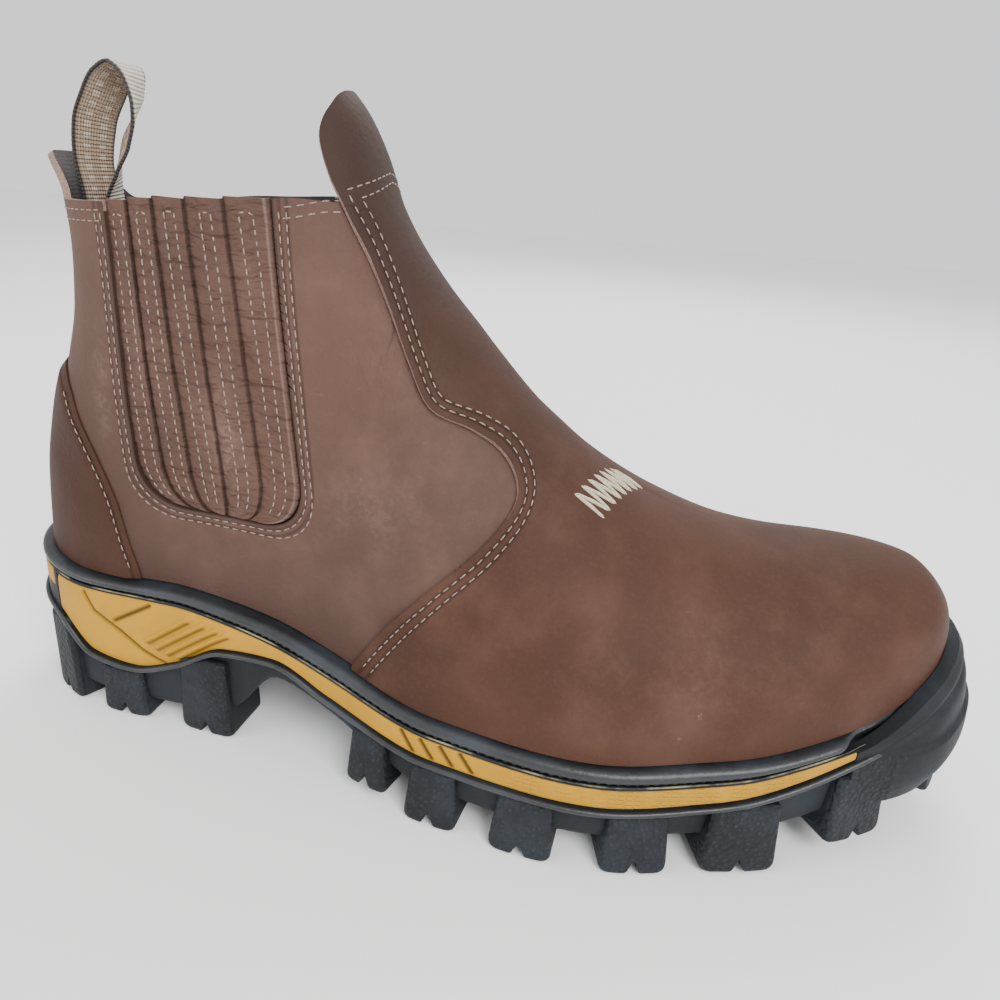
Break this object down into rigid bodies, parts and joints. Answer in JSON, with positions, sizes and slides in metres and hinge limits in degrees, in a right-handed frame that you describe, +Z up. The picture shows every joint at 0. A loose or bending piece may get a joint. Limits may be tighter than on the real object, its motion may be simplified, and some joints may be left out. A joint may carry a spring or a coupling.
{
  "type": "work boot",
  "caption": "Ankle-high pull-on leather work boot with pleated elastic side panels, a webbing pull loop and a lugged rubber sole, for the right foot.",
  "frame": {"origin": "on the floor, under the middle of the boot's overall length and width", "axes": "+X along the boot to the toe, +Y to the inner side of the foot, +Z up"},
  "size_m": [0.3112, 0.1164, 0.2036],
  "materials": {
    "sole_rubber": "matt black moulded rubber, lightly dusty",
    "welt_rubber": "smooth black rubber bead with a soft shine",
    "band_rubber": "ochre moulded rubber with a fine relief",
    "leather": "dark brown oiled nubuck, matt with a worn nap",
    "panel_leather": "dark brown split leather in flat stitched pleats",
    "footbed": "dark cloth-covered footbed",
    "webbing": "tan woven webbing with dark edges"
  },
  "bodies": {
    "root": {"outsole": "sole_rubber", "band_outer": "band_rubber", "band_inner": "band_rubber", "band_back": "band_rubber", "welt": "welt_rubber", "insole": "footbed", "upper": "leather", "vamp": "leather", "counter": "leather", "gusset_outer": "panel_leather", "gusset_inner": "panel_leather", "pull_loop": "webbing"}
  },
  "joints": []
}
